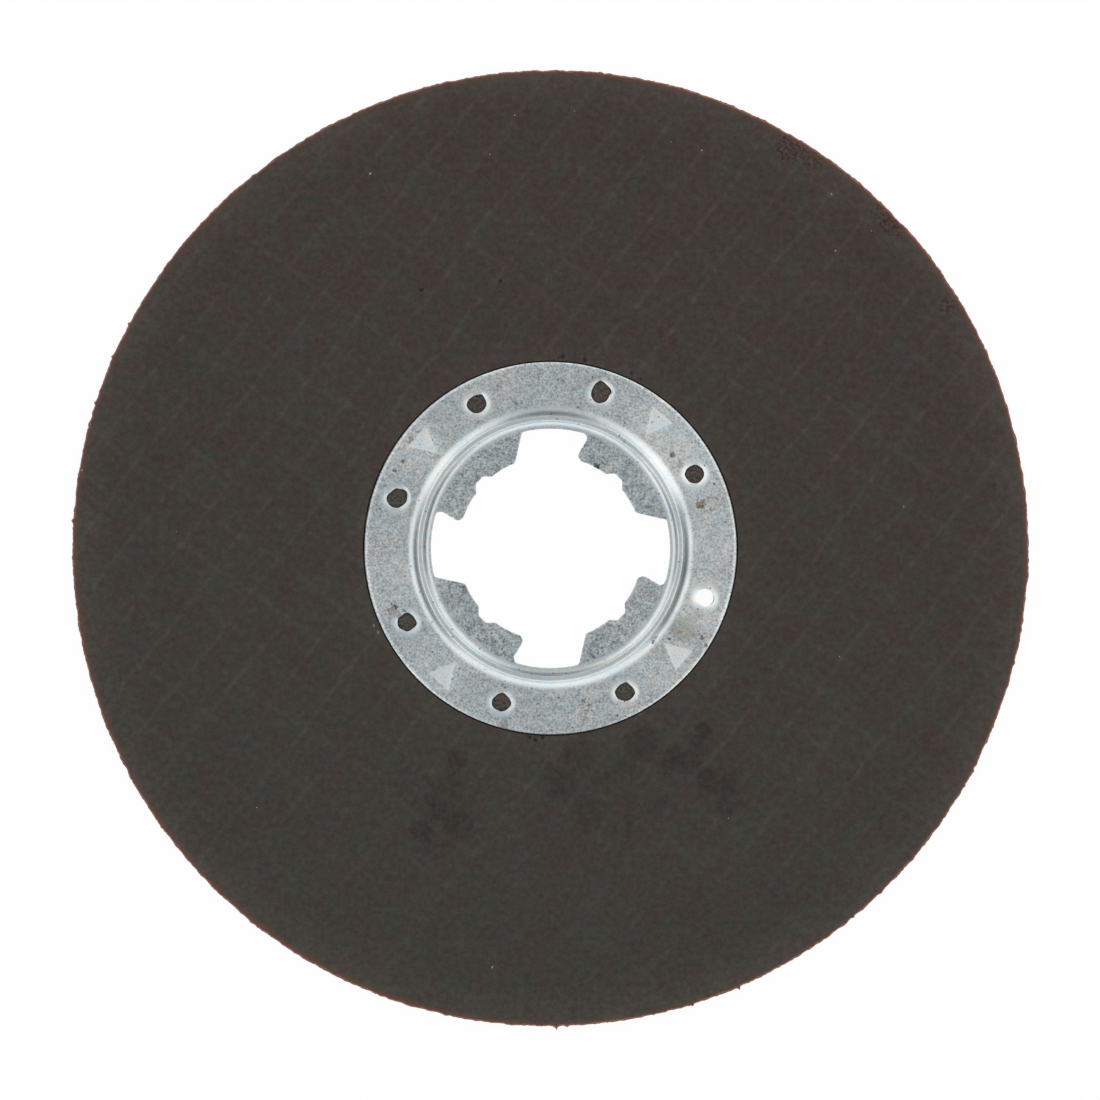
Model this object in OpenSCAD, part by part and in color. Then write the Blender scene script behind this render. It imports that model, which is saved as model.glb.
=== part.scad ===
// Thin cut-off wheel with a quick-change steel flange.
// The wheel lies flat: +Z is its axis, its underside is at z = 0, and the flange shows on top.

/* [Abrasive disc] */
// Outer diameter of the abrasive disc
disc_d = 115; // [100:1:150]
// Thickness of the abrasive disc
disc_t = 1.6; // [1.5:0.1:3]
// Width of the worn-off corners along the disc's rim
rim_break = 0.15; // [0.05:0.05:0.4]

/* [Steel flange] */
// Outer diameter of the flange
flange_d = 44.9; // [44.5:0.1:50]
// Thickness of the steel sheet
sheet_t = 0.8; // [0.6:0.05:0.9]
// Height of the flange above the disc's face
flange_proud = 0.1; // [0:0.05:0.4]
// Rounding of the flange's sheared outer edge
edge_round = 0.2; // [0.1:0.05:0.4]
// Gap between the flange's edge and the seat pressed into the disc
seat_gap = 0.2; // [0.05:0.05:0.5]

/* [Bead] */
// Diameter of the middle of the bead's floor
bead_d = 31.36; // [31.2:0.02:31.8]
// Width of the flat strip along the bead's floor
bead_floor = 0.3; // [0.1:0.02:0.5]
// Depth of the bead below the flange's face
bead_depth = 0.66; // [0.55:0.01:0.8]
// Distance of the tabs below the flange's face
tab_drop = 0.25; // [0:0.05:0.4]
// Bend radius inside the sheet where the outer wall leaves the flange
outer_bend = 1; // [0.8:0.02:1.2]
// Bend radius at the foot of the outer wall
outer_foot = 0.4; // [0.3:0.05:0.8]
// Bend radius inside the sheet where the inner wall meets the tabs
inner_bend = 0.28; // [0.2:0.02:0.5]
// Bend radius at the foot of the inner wall
inner_foot = 0.3; // [0.2:0.05:0.6]
// Gap between the bead and the bore of the abrasive disc
bead_gap = 0.25; // [0.1:0.05:0.6]

/* [Lock bore] */
// Diameter of the bore between the tabs
bore_d = 22.23; // [21.5:0.01:23]
// Diameter of the lobes between the tabs
lobe_d = 28.8; // [27.5:0.1:29.2]
// Direction of the first tab's centre line
tab_angle = 46.3; // [0:0.1:90]
// Angle from a tab's centre line to its ramp, at the bore
ramp_in_angle = 23.7; // [21:0.1:26]
// Angle from a tab's centre line to its ramp, at the lobe circle
ramp_out_angle = 32.5; // [30:0.1:36]
// Angle from a tab's centre line to its hook, at the bore
hook_in_angle = 28.2; // [26:0.1:30]
// Angle from a tab's centre line to its hook, at the lobe circle
hook_out_angle = 24.6; // [23:0.1:28]
// Rounding of the hook's tip
hook_tip_r = 0.8; // [0.3:0.1:0.9]
// Rounding in the corner behind the hook
hook_root_r = 0.6; // [0.2:0.1:0.7]
// Rounding at the ramp's tip
ramp_tip_r = 0.5; // [0.2:0.1:0.8]
// Rounding at the ramp's root
ramp_root_r = 0.5; // [0.2:0.1:0.8]

/* [Tab notch] */
// Half the angle that a notch's mouth takes of the bore
notch_half_angle = 7.2; // [6:0.1:8]
// Width of a notch's floor
notch_floor = 1.3; // [0.9:0.1:1.6]
// Depth of a notch beyond the bore
notch_depth = 0.72; // [0.5:0.02:1]
// Rounding of a notch's corners
notch_r = 0.45; // [0.1:0.05:0.5]

/* [Anchor holes] */
// Diameter of an anchor hole
hole_d = 2.2; // [1.6:0.1:2.6]
// Distance of the hole centres from the flange's edge
hole_inset = 2.95; // [2.7:0.05:3.05]
// Direction of the first hole
hole_angle = 27.2; // [0:0.1:45]
// Radius of the rolled-in rim of a hole
hole_rim_r = 0.45; // [0.2:0.05:0.5]
// Depth of the abrasive plugs below the flange's face
plug_drop = 0.35; // [0.1:0.05:0.6]
// Gap between an abrasive plug and its hole
plug_gap = 0.05; // [0.02:0.01:0.2]

/* [Coined marks] */
// Direction of the first of the four triangular marks
mark_angle = 50; // [45:0.5:55]
// Distance of a mark's base from the flange's edge
mark_inset = 1.45; // [1.2:0.05:1.6]
// Length of a mark from its base to its tip
mark_length = 3.25; // [2:0.05:3.4]
// Width of a mark's base
mark_width = 3.2; // [2:0.1:3.6]
// Depth of a mark below the flange's face
mark_depth = 0.02; // [0.01:0.01:0.1]

/* [Hidden] */
$fn = 96;

// Counts of what repeats around the axis
tab_count = 4;
hole_count = 8;
// The hole that the abrasive doesn't fill
open_hole = 7;
// Number of straight steps that stand for a bend, a rounded corner or a lobe's arc
arc_steps = 8;
// Length by which a cut runs past what it cuts
overrun = 1;
// Distance by which the cuts between the tabs reach into the bore
seam = 0.02;
// Angle of bore that a tab's rounded tip may take up
tip_lead = 8;

tab_pitch = 360 / tab_count;
bore_r = bore_d / 2;
lobe_r = lobe_d / 2;
flange_r = flange_d / 2;
hole_circle_r = flange_r - hole_inset;

// Levels of the pressed sheet, as heights of its upper side
flange_z = disc_t + flange_proud;
tab_z = flange_z - tab_drop;
floor_z = flange_z - bead_depth;
seat_z = flange_z - sheet_t;

// The bead's walls: each is a bend down and a bend back, with the same angle and its own two centres
outer_bend_r = outer_bend + sheet_t;
inner_bend_r = inner_bend + sheet_t;
outer_wall_angle = acos(1 - bead_depth / (outer_bend_r + outer_foot));
inner_wall_angle = acos(1 - (bead_depth - tab_drop) / (inner_bend_r + inner_foot));
outer_wall_w = (outer_bend_r + outer_foot) * sin(outer_wall_angle);
inner_wall_w = (inner_bend_r + inner_foot) * sin(inner_wall_angle);
outer_foot_at = [bead_d / 2 + bead_floor / 2, floor_z + outer_foot];
inner_foot_at = [bead_d / 2 - bead_floor / 2, floor_z + inner_foot];
outer_bend_at = [outer_foot_at.x + outer_wall_w, flange_z - outer_bend_r];
inner_bend_at = [inner_foot_at.x - inner_wall_w, tab_z - inner_bend_r];
disc_bore_r = outer_bend_at.x + bead_gap;

function polar(r, a) = r * [cos(a), sin(a)];

function unit(v) = v / norm(v);

// Points along an arc about a centre, from one angle to another
function arc(at, r, from, to) =
    [for (i = [0 : arc_steps]) at + polar(r, from + (to - from) * i / arc_steps)];

// A list of points read backwards
function reversed(points) = [for (i = [len(points) - 1 : -1 : 0]) points[i]];

// The corner q between its neighbours p and s, rounded to radius r
function rounded(p, q, s, r) =
    let (
        u = unit(p - q),
        v = unit(s - q),
        half = acos(u * v) / 2,
        at = q + unit(u + v) * r / sin(half),
        first = q + u * r / tan(half) - at,
        last = q + v * r / tan(half) - at,
        from = atan2(first.y, first.x),
        turn = atan2(last.y, last.x) - from
    )
    arc(at, r, from, from + turn - 360 * round(turn / 360));

// One side of the sheet's section, from the flange's edge to the axis, a depth below the upper side
function sheet_side(depth) = concat(
    arc(outer_bend_at, outer_bend_r - depth, 90, 90 + outer_wall_angle),
    arc(outer_foot_at, outer_foot + depth, outer_wall_angle - 90, -90),
    arc(inner_foot_at, inner_foot + depth, -90, -90 - inner_wall_angle),
    arc(inner_bend_at, inner_bend_r - depth, 90 - inner_wall_angle, 90),
    [[0, tab_z - depth]]
);

// Section of the whole pressed sheet, with the rolled-over outer edge
function sheet_section() = concat(
    [[flange_r, seat_z]],
    arc([flange_r - edge_round, flange_z - edge_round], edge_round, 0, 90),
    sheet_side(0),
    reversed(sheet_side(sheet_t))
);

// Outline of the opening between one tab's hook and the next tab's ramp
function lobe_outline() =
    let (
        tip_r = bore_r - seam,
        ramp_in = tab_pitch - ramp_in_angle,
        ramp_out = tab_pitch - ramp_out_angle,
        bore_start = polar(tip_r, hook_in_angle - tip_lead),
        hook_tip = polar(tip_r, hook_in_angle),
        lobe_arc = arc([0, 0], lobe_r, hook_out_angle, ramp_out),
        ramp_tip = polar(tip_r, ramp_in),
        bore_end = polar(tip_r, ramp_in + tip_lead)
    )
    concat(
        [[0, 0], bore_start],
        rounded(bore_start, hook_tip, lobe_arc[0], hook_tip_r),
        rounded(hook_tip, lobe_arc[0], lobe_arc[1], hook_root_r),
        [for (i = [1 : arc_steps - 1]) lobe_arc[i]],
        rounded(lobe_arc[arc_steps - 1], lobe_arc[arc_steps], ramp_tip, ramp_root_r),
        rounded(lobe_arc[arc_steps], ramp_tip, bore_end, ramp_tip_r),
        [bore_end]
    );

// Outline of the notch in the middle of a tab
function notch_outline() =
    let (
        tip_r = bore_r - seam,
        bore_start = polar(tip_r, -notch_half_angle - tip_lead),
        mouth_start = polar(tip_r, -notch_half_angle),
        floor_start = [bore_r + notch_depth, -notch_floor / 2],
        floor_end = [bore_r + notch_depth, notch_floor / 2],
        mouth_end = polar(tip_r, notch_half_angle),
        bore_end = polar(tip_r, notch_half_angle + tip_lead)
    )
    concat(
        [[0, 0], bore_start],
        rounded(bore_start, mouth_start, floor_start, notch_r),
        rounded(mouth_start, floor_start, floor_end, notch_r),
        rounded(floor_start, floor_end, mouth_end, notch_r),
        rounded(floor_end, mouth_end, bore_end, notch_r),
        [bore_end]
    );

// Repeats its children at each anchor hole from one number to another
module at_holes(first, last) {
    for (i = [first : last])
        rotate(hole_angle + i * 360 / hole_count)
            translate([hole_circle_r, 0, 0])
                children();
}

// A prism on an outline that cuts right through the tabs
module tab_cut(outline) {
    translate([0, 0, tab_z - sheet_t - overrun])
        linear_extrude(sheet_t + 2 * overrun)
            polygon(outline);
}

// The opening that the machine's holder enters: a round bore with lobes and notches
module lock_bore() {
    translate([0, 0, tab_z - sheet_t - overrun])
        cylinder(h = sheet_t + 2 * overrun, r = bore_r);
    for (i = [0 : tab_count - 1])
        rotate(tab_angle + i * tab_pitch) {
            tab_cut(lobe_outline());
            tab_cut(notch_outline());
        }
}

// One anchor hole through the sheet, with its upper edge rolled in
module anchor_hole() {
    rim_at = [hole_d / 2 + hole_rim_r, flange_z - hole_rim_r];
    section = concat(
        [[0, seat_z - overrun], [hole_d / 2, seat_z - overrun]],
        reversed(arc(rim_at, hole_rim_r, 90, 180)),
        [[rim_at.x, flange_z + overrun], [0, flange_z + overrun]]
    );
    rotate_extrude()
        polygon(section);
}

// The triangular marks in the flange's face, their tips towards the axis
module coined_marks() {
    base_r = flange_r - mark_inset;
    outline = [[base_r - mark_length, 0], [base_r, -mark_width / 2], [base_r, mark_width / 2]];
    for (i = [0 : tab_count - 1])
        rotate(mark_angle + i * tab_pitch)
            translate([0, 0, flange_z - mark_depth])
                linear_extrude(mark_depth + overrun)
                    polygon(outline);
}

// Pressed disc of grain, resin and glass fibre, with a seat for the flange and plugs in its anchor holes
module abrasive_disc() {
    disc_r = disc_d / 2;
    seat_r = flange_r + seat_gap;
    section = [
        [disc_bore_r, 0],
        [disc_r - rim_break, 0],
        [disc_r, rim_break],
        [disc_r, disc_t - rim_break],
        [disc_r - rim_break, disc_t],
        [seat_r, disc_t],
        [seat_r, seat_z],
        [disc_bore_r, seat_z]
    ];
    plug_h = flange_z - plug_drop;
    color("#42403c")
        difference() {
            union() {
                rotate_extrude()
                    polygon(section);
                at_holes(0, open_hole - 1)
                    cylinder(h = plug_h, d = hole_d - 2 * plug_gap);
            }
            at_holes(open_hole, hole_count - 1)
                translate([0, 0, -overrun])
                    cylinder(h = seat_z + 2 * overrun, d = hole_d);
        }
}

// Flange pressed from one sheet: a flat ring with anchor holes and marks, a bead, and tabs
module steel_flange() {
    color("#a9b1b4")
        difference() {
            rotate_extrude()
                polygon(sheet_section());
            lock_bore();
            at_holes(0, hole_count - 1)
                anchor_hole();
            coined_marks();
        }
}

abrasive_disc();
steel_flange();
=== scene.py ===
"""Looks of a thin cut-off wheel with a pressed steel quick-change flange, seen square on from above.

Shapes are worked out in millimetres in the wheel's own frame and become metres when a mesh is made.
"""
import math

import bpy
import numpy as np
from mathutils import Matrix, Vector, noise
from mathutils.geometry import delaunay_2d_cdt


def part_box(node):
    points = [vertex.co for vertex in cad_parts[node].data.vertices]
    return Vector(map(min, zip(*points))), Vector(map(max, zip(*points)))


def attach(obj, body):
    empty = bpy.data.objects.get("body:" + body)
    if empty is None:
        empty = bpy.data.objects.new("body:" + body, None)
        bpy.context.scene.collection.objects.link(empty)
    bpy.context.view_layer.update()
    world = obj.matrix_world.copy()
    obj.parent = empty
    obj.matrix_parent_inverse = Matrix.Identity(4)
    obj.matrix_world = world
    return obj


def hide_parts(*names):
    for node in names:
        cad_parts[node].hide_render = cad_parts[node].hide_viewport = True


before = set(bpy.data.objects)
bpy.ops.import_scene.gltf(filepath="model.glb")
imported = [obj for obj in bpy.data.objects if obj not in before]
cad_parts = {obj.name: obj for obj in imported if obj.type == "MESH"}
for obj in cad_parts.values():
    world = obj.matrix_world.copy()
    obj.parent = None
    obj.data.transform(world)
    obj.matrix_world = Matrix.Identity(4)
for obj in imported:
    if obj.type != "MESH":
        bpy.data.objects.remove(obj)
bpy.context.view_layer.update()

# Units
MM = 0.001

# Framing of the photograph
PHOTO_PX = 1100
RIM_RADIUS_PX = 477.8
WHEEL_RIGHT_PX = 0.5
WHEEL_UP_PX = 1.75
CAMERA_DISTANCE = 900.0
SENSOR_WIDTH = 36.0
CLIP_NEAR, CLIP_FAR = 0.01, 20.0

# The abrasive disc, with the sizes that its solid has
DISC_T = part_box("abrasive_disc")[1].z / MM
DISC_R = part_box("abrasive_disc")[1].x / MM
RIM_BREAK = 0.15
FACE_R = DISC_R - RIM_BREAK
BEAD_GAP = 0.25
PLUG_DROP = 0.35
PLUG_GAP = 0.05

# The steel flange, with the sizes that its solid has
FLANGE_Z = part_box("steel_flange")[1].z / MM
FLANGE_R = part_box("steel_flange")[1].x / MM
SHEET_T = 0.8
EDGE_ROUND = 0.2

# Unlike in the solids: a narrower gap around the flange and a wider roll-over of its edge
SEAT_GAP = 0.13
EDGE_ROLL = 0.6

# The flange's seat in the disc
SEAT_Z = FLANGE_Z - SHEET_T
SEAT_R = FLANGE_R + SEAT_GAP

# The bead of the flange
TAB_DROP = 0.25
BEAD_DEPTH = 0.66
BEAD_R = 15.68
BEAD_FLOOR = 0.3
OUTER_BEND_R = 1.0 + SHEET_T
OUTER_FOOT = 0.4
INNER_BEND_R = 0.28 + SHEET_T
INNER_FOOT = 0.3
TAB_Z = FLANGE_Z - TAB_DROP
BEAD_Z = FLANGE_Z - BEAD_DEPTH

# The bead's walls: reach of both bends, slope, and centres of the bends
OUTER_REACH = OUTER_BEND_R + OUTER_FOOT
INNER_REACH = INNER_BEND_R + INNER_FOOT
OUTER_WALL = math.acos(1 - BEAD_DEPTH / OUTER_REACH)
INNER_WALL = math.acos(1 - (BEAD_DEPTH - TAB_DROP) / INNER_REACH)
OUTER_FOOT_AT = (BEAD_R + BEAD_FLOOR / 2, BEAD_Z + OUTER_FOOT)
INNER_FOOT_AT = (BEAD_R - BEAD_FLOOR / 2, BEAD_Z + INNER_FOOT)
OUTER_BEND_AT = (OUTER_FOOT_AT[0] + OUTER_REACH * math.sin(OUTER_WALL), FLANGE_Z - OUTER_BEND_R)
INNER_BEND_AT = (INNER_FOOT_AT[0] - INNER_REACH * math.sin(INNER_WALL), TAB_Z - INNER_BEND_R)
DISC_BORE_R = OUTER_BEND_AT[0] + BEAD_GAP

# The lock bore: angles in degrees from a tab's centre line
TAB_COUNT = 4
TAB_ANGLE = 46.3
TAB_PITCH = 360 / TAB_COUNT
BORE_R = 11.115
LOBE_R = 14.4
RAMP_IN, RAMP_OUT = 23.7, 32.5
HOOK_IN, HOOK_OUT = 28.2, 24.6
HOOK_TIP_R, HOOK_ROOT_R = 0.8, 0.6
RAMP_TIP_R, RAMP_ROOT_R = 0.5, 0.5
NOTCH_HALF, NOTCH_FLOOR, NOTCH_DEPTH, NOTCH_R = 7.2, 1.3, 0.72, 0.45

# How far along its arc a corner's neighbour is taken, in degrees
LEAD = 6.0
HOOK_LEAD = 8.0

# Roll-over from shearing around the bore: distance from the edge and drop
SHEAR_ROLL = ((0.0, 0.075), (0.02, 0.032), (0.05, 0.010), (0.10, 0.0))

# The anchor holes
HOLE_COUNT = 8
HOLE_ANGLE = 27.2
HOLE_CIRCLE_R = FLANGE_R - 2.95
HOLE_R = 1.1
HOLE_RIM_R = 0.8
HOLE_RIM_DROP = 0.14
HOLE_RIM_CURVE = 1.7
OPEN_HOLE = 7

# Roughness of the holes' edges: depth, radius of its noise, and the noise's layers
HOLE_ROUGH = 0.05
HOLE_NOISE_R = 1.6
HOLE_LAYER, HOLE_LAYER_STEP = 3.1, 5

# Tears in the holes' edges: hole, direction, half width in degrees, and depth
HOLE_TEARS = (
    (0, 180, 22, 0.12), (0, 75, 30, 0.04), (0, 0, 30, 0.05),
    (1, 85, 36, 0.46), (1, 22, 24, 0.28), (1, 8, 8, 0.12),
    (2, 58, 20, 0.2), (2, 5, 28, 0.15), (2, 185, 24, 0.08), (2, 130, 20, -0.1),
    (3, 38, 28, 0.4), (3, 88, 18, 0.14), (3, 350, 25, 0.16), (3, 185, 24, 0.09), (3, 130, 18, -0.09),
    (4, 352, 20, 0.18), (4, 90, 18, 0.05), (4, 130, 20, -0.1), (4, 245, 24, -0.11),
    (5, 352, 24, 0.16), (5, 80, 18, 0.1), (5, 130, 20, -0.08), (5, 245, 22, -0.1),
    (6, 0, 24, 0.15), (6, 80, 15, 0.14), (6, 182, 18, 0.07), (6, 130, 22, -0.06), (6, 265, 24, -0.1),
    (7, 235, 22, -0.1), (7, 0, 25, 0.05),
)

# The four coined marks
MARK_ANGLE = 50.0
MARK_APEX_R = 17.75
MARK_BASE_R = 21.0
MARK_HALF_W = 1.6
MARK_SINK = 0.02
MARK_BEVEL = 0.09

# Nubs and chips of the rim: direction, half width in degrees, and height
RIM_MARKS = (
    (270.7, 0.13, 0.44), (272, 0.12, 0.18), (293.2, 0.14, 0.44), (176.7, 0.2, 0.25), (309.4, 0.12, 0.25),
    (330.1, 0.14, 0.22), (332.2, 0.12, 0.19), (287.3, 0.12, 0.2), (156.4, 0.16, 0.2), (152, 0.14, 0.2),
    (162.3, 0.16, 0.19), (84, 0.26, 0.14), (59.5, 1.3, -0.08), (44, 1.6, -0.09), (33.5, 0.7, -0.08),
)
OUT_OF_ROUND = 0.082
LONG_AXIS = 46.4

# The rim's grit: depth and scale of its noises, and how much stands out and in
RIM_FINE, RIM_FINE_SCALE = 0.105, 2.3
RIM_BROAD, RIM_BROAD_SCALE = 0.145, 0.8
RIM_BROAD_SHIFT = Vector((9, 4, 1))
RIM_LAYERS = 2.0
RIM_OUTWARDS, RIM_INWARDS = 1.15, 0.65

# The slight swell of the skin: scale and layer of its noise
SWELL = (0.35, 1.7)

# Plugs in the holes: level, roughness and its noise, and rows as a share of the hole and a lift
PLUG_Z = FLANGE_Z - PLUG_DROP
PLUG_ROUGH, PLUG_GRIT = 0.12, (2.6, 4.0)
PLUG_ROWS = ((1.0, -0.06), (0.86, 0.0), (0.6, 0.02), (0.3, 0.03))

# Pale flecks in the face: x, y, half length, half width and direction
FLECKS = (
    (-21.7, 45.08, 0.16, 0.1, 20), (-7.3, 47.42, 0.08, 0.07, 0), (-4.3, 52.12, 0.09, 0.08, 40),
    (2.88, 52.6, 0.07, 0.05, 0), (18.2, 47.9, 0.09, 0.08, 70), (33.82, 42.62, 0.1, 0.09, 30),
    (34.3, 35.8, 0.1, 0.09, 0), (42.5, 5, 0.11, 0.05, 50), (34.8, -13, 0.09, 0.05, 20),
    (-35.3, -31.2, 0.08, 0.06, 0), (21.4, -32.5, 0.07, 0.05, 0), (-7, -50.4, 0.21, 0.06, 64),
    (-45, 2, 0.06, 0.04, 0), (-56.4, 9.4, 0.12, 0.1, 80), (-21.25, -9.3, 0.22, 0.05, 105),
    (-20.75, -10.1, 0.24, 0.05, 100), (14.5, 48.9, 0.06, 0.05, 0), (38.6, 38.2, 0.07, 0.06, 0),
)
FLECK_SIDES = 7
FLECK_RAGGED, FLECK_LAYER = 0.3, 0.5
FLECK_ROWS = ((1.0, DISC_T - 0.04), (1.0, DISC_T), (0.7, DISC_T + 0.012))

# How finely the meshes are cut
DISC_STEPS = 2016
FLANGE_STEPS = 720
HOLE_STEPS = 48
HOLE_RIM_STEPS = 7
EDGE_STEPS = 6
CORNER_STEPS = 9
MARK_STEPS = 14
OUTLINE_STEP = 0.12
FACE_RINGS = 12
RIM_LEVELS = 6
MERGE_DISTANCE = 1e-7

# Rings over the flange's sides: radius and number of points, and what they keep clear of
UPPER_RINGS = (
    *((r, 180) for r in (11.5, 12.1, 12.7, 13.3, 13.9)),
    *((14.44 + 0.085 * k, FLANGE_STEPS) for k in range(38)),
    *((r, 240) for r in (17.8, 18.4, 19.0, 19.6, 20.2, 20.8, 21.4, 21.7)),
)
LOWER_RINGS = (
    *((14.44 + 0.17 * k, 360) for k in range(20)),
    *((r, 120) for r in (12.5, 13.5, 18.6, 20.0, 21.4)),
)
HOLE_CLEAR = 0.12
BORE_CLEAR = 0.16
MARK_CLEAR = 0.3
MARK_CLEAR_TURN = 6

# Rows around the disc: radius, height, share of grit, level on the rim, and swell
FACE_START, FACE_END = 0.12, 0.7
FACE_SPAN = FACE_R - FACE_END - SEAT_R
FACE_ROWS = (
    (SEAT_R, DISC_T, 0, 0, 0), (SEAT_R + FACE_START, DISC_T, 0, 0, 0.004),
    *((SEAT_R + FACE_START + FACE_SPAN * k / FACE_RINGS, DISC_T, 0, 0, 0.008) for k in range(1, FACE_RINGS)),
    (FACE_R - 0.45, DISC_T, 0, 0, 0.006), (FACE_R - 0.2, DISC_T, 0.3, 0, 0.01),
)
RIM_HEIGHT = DISC_T - 2 * RIM_BREAK
RIM_ROWS = (
    (FACE_R, DISC_T - 0.012, 0.9, 1, 0.02),
    *((DISC_R, RIM_BREAK + RIM_HEIGHT * share, 1.0, share, 0)
      for share in (1 - k / RIM_LEVELS for k in range(RIM_LEVELS + 1))),
    (FACE_R, 0.012, 0.9, 0, 0),
)
LOW_ROWS = ((FACE_R - 0.3, 0, 0.2, 0, 0), *((r, 0, 0, 0, 0) for r in (54, 46, 38, 30, 24)))

# Edges sharper than these angles aren't smoothed
FLANGE_SHARP = 50.0
DISC_SHARP = 60.0

# Numbers of the materials on each mesh
SKIN, RIM, PLUG, FLECK = range(4)
# The third zinc is lighter: a painted highlight on the holes' rolled rims
PLATE, COINED, HOLE_HIGHLIGHT = range(3)


# Points

def polar(r, degrees):
    """A point at a radius and a direction."""
    a = math.radians(degrees)
    return Vector((r * math.cos(a), r * math.sin(a)))


def turned(p, degrees):
    """A point turned about the axis."""
    a = math.radians(degrees)
    return Vector((p.x * math.cos(a) - p.y * math.sin(a), p.x * math.sin(a) + p.y * math.cos(a)))


def turns(count):
    """Directions all round, in even steps."""
    return [360 * i / count for i in range(count)]


def circle(r, count, centre=(0.0, 0.0)):
    """Points around a circle, anticlockwise."""
    return [polar(r, degrees) + Vector(centre) for degrees in turns(count)]


def swelling(degrees, direction, half_width, height):
    """Height in one direction of a soft bump in another."""
    away = (degrees - direction + 180) % 360 - 180
    return height * math.exp(-(away / half_width) ** 2)


def flat_noise(p, scale, layer):
    """Noise at a flat point."""
    return noise.noise(Vector((p.x * scale, p.y * scale, layer)))


def at_height(flat, z):
    """Flat points raised to one height."""
    return [(p.x, p.y, z) for p in flat]


def flat_array(points):
    """The x and y of points, as an array."""
    return np.array([tuple(p[:2]) for p in points]).reshape(-1, 2)


# Meshes

class Cloud:
    """Numbered points."""

    def __init__(self):
        self.points = []

    def add(self, points):
        """Adds points and returns their numbers."""
        first = len(self.points)
        self.points += points
        return list(range(first, len(self.points)))


def placed(name, data):
    """A new object in the scene."""
    made = bpy.data.objects.new(name, data)
    bpy.context.scene.collection.objects.link(made)
    return made


def build_mesh(name, points_mm, faces, materials, face_slots, sharp):
    """An object from points in millimetres, smooth but for edges sharper than an angle."""
    mesh = bpy.data.meshes.new(name)
    mesh.from_pydata([(x * MM, y * MM, z * MM) for x, y, z in points_mm], [], faces)
    for material in materials:
        mesh.materials.append(material)
    mesh.polygons.foreach_set("material_index", face_slots)
    mesh.polygons.foreach_set("use_smooth", [True] * len(mesh.polygons))
    mesh.set_sharp_from_angle(angle=math.radians(sharp))
    mesh.validate()
    return placed(name, mesh)


def covered(places, loop):
    """Which places, as an array, lie inside a closed loop of points."""
    loop = flat_array(loop)
    x0, y0 = loop.T
    x1, y1 = np.roll(x0, -1), np.roll(y0, -1)
    result = np.zeros(len(places), bool)
    near = ((places >= loop.min(0)) & (places <= loop.max(0))).all(1)
    for i in np.flatnonzero(near):
        x, y = places[i]
        spans = (y0 > y) != (y1 > y)
        cross = x0[spans] + (y - y0[spans]) / (y1[spans] - y0[spans]) * (x1[spans] - x0[spans])
        result[i] = np.count_nonzero(cross > x) % 2 == 1
    return result


def fill(points, loops, voids):
    """Triangles over flat points, with loops of them kept as edges and the voids left open."""
    edges = [(loop[i - 1], loop[i]) for loop in loops for i in range(len(loop))]
    result = delaunay_2d_cdt([Vector(p[:2]) for p in points], edges, [], 0, MERGE_DISTANCE)
    flat, faces, origin = result[0], result[2], result[3]
    centres = flat_array(sum((flat[i] for i in f), Vector((0, 0))) / 3 for f in faces)
    keep = np.ones(len(faces), bool)
    for void in voids:
        keep &= ~covered(centres, [points[i] for i in void])
    return [tuple(origin[i][0] for i in f) for f, kept in zip(faces, keep) if kept]


# Outlines of the flange

def sheet_z(r, depth):
    """Height of the pressed sheet at a radius, a depth below its upper side."""
    def arc(at, radius):
        return math.sqrt(max(radius ** 2 - (r - at[0]) ** 2, 0))

    if r >= OUTER_BEND_AT[0]:
        return FLANGE_Z - depth
    if r >= OUTER_BEND_AT[0] - (OUTER_BEND_R - depth) * math.sin(OUTER_WALL):
        return OUTER_BEND_AT[1] + arc(OUTER_BEND_AT, OUTER_BEND_R - depth)
    if r >= OUTER_FOOT_AT[0]:
        return OUTER_FOOT_AT[1] - arc(OUTER_FOOT_AT, OUTER_FOOT + depth)
    if r >= INNER_FOOT_AT[0]:
        return BEAD_Z - depth
    if r >= INNER_FOOT_AT[0] - (INNER_FOOT + depth) * math.sin(INNER_WALL):
        return INNER_FOOT_AT[1] - arc(INNER_FOOT_AT, INNER_FOOT + depth)
    if r >= INNER_BEND_AT[0]:
        return INNER_BEND_AT[1] + arc(INNER_BEND_AT, INNER_BEND_R - depth)
    return TAB_Z - depth


def on_sheet(flat, depth, drop=0.0):
    """Flat points raised to the sheet at a depth, less a drop."""
    return [(p.x, p.y, sheet_z(math.hypot(p.x, p.y), depth) - drop) for p in flat]


def rounded(p, q, s, r):
    """The corner q between its neighbours p and s, rounded to a radius."""
    u, v = (p - q).normalized(), (s - q).normalized()
    half = math.acos(u.dot(v)) / 2
    centre = q + (u + v).normalized() * r / math.sin(half)
    first, last = q + u * r / math.tan(half) - centre, q + v * r / math.tan(half) - centre
    start = math.atan2(first.y, first.x)
    turn = math.atan2(last.y, last.x) - start
    turn -= 2 * math.pi * round(turn / (2 * math.pi))
    shares = [i / CORNER_STEPS for i in range(CORNER_STEPS + 1)]
    return [centre + polar(r, math.degrees(start + turn * share)) for share in shares]


def along_arc(r, start, end):
    """Points along a circle about the axis between two points near it, ends left out."""
    a = math.degrees(math.atan2(start.y, start.x))
    sweep = (math.degrees(math.atan2(end.y, end.x)) - a) % 360
    count = max(2, round(math.radians(sweep) * r / OUTLINE_STEP))
    return [polar(r, a + sweep * i / count) for i in range(1, count)]


def along_line(start, end):
    """Points along a line between two points, ends left out."""
    gap = end - start
    count = max(1, round(gap.length / OUTLINE_STEP))
    return [start + gap * i / count for i in range(1, count)]


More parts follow.
